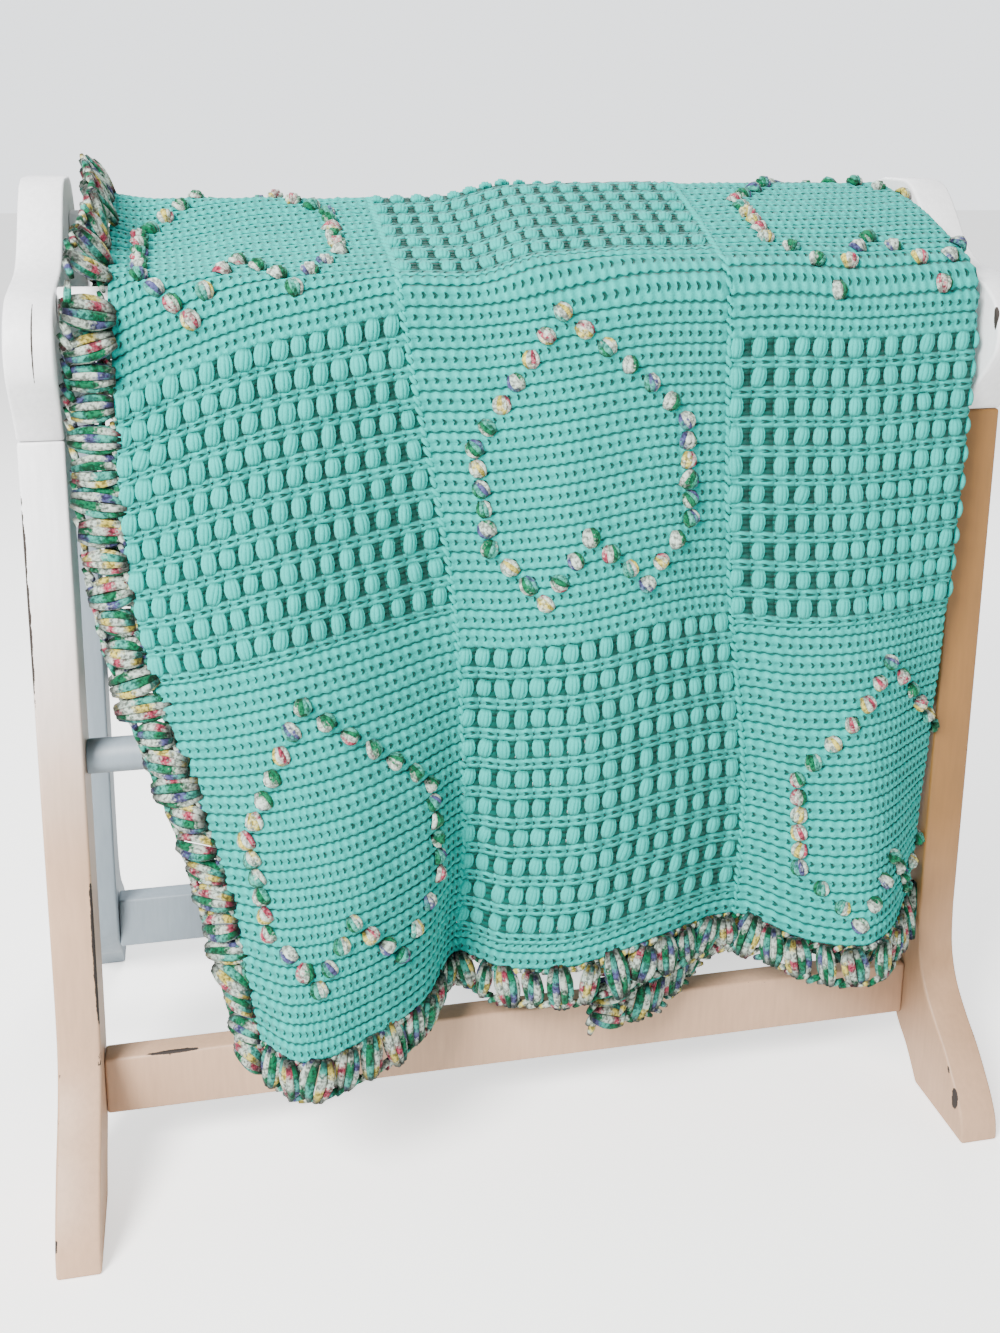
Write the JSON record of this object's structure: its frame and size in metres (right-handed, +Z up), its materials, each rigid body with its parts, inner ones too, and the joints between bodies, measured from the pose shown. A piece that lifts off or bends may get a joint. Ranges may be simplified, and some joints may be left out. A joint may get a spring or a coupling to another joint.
{
  "type": "crochet blanket on a quilt rack",
  "caption": "Crocheted blanket of bobble-heart and openwork squares with a puff-stitch border, folded lengthwise and hung over a wooden quilt rack with shaped ends and flared feet.",
  "frame": {"origin": "on the floor under the middle of the rack", "axes": "+X to the right of the side that is looked at, +Y to the rear, +Z up"},
  "size_m": [0.8, 0.512, 0.8447],
  "materials": {
    "rack_paint": "worn cream paint on wood",
    "mint_crochet": "matte crochet wool",
    "border_crochet": "matte crochet wool in mixed colours"
  },
  "bodies": {
    "root": {"head_board_left": "rack_paint", "head_board_right": "rack_paint", "leg_front_left": "rack_paint", "leg_front_right": "rack_paint", "leg_rear_left": "rack_paint", "leg_rear_right": "rack_paint", "rail_top": "rack_paint", "rail_front": "rack_paint", "rail_rear": "rack_paint", "dowel_front": "rack_paint", "dowel_rear": "rack_paint", "stretcher_front": "rack_paint", "stretcher_rear": "rack_paint", "strip_left": "mint_crochet", "strip_centre": "mint_crochet", "strip_right": "mint_crochet", "strip_folded": "mint_crochet", "ruffle_left": "border_crochet", "ruffle_front": "border_crochet", "ruffle_rear": "border_crochet", "ruffle_folded_front": "border_crochet", "ruffle_folded_rear": "border_crochet", "ruffle_folded_side": "border_crochet"}
  },
  "joints": []
}
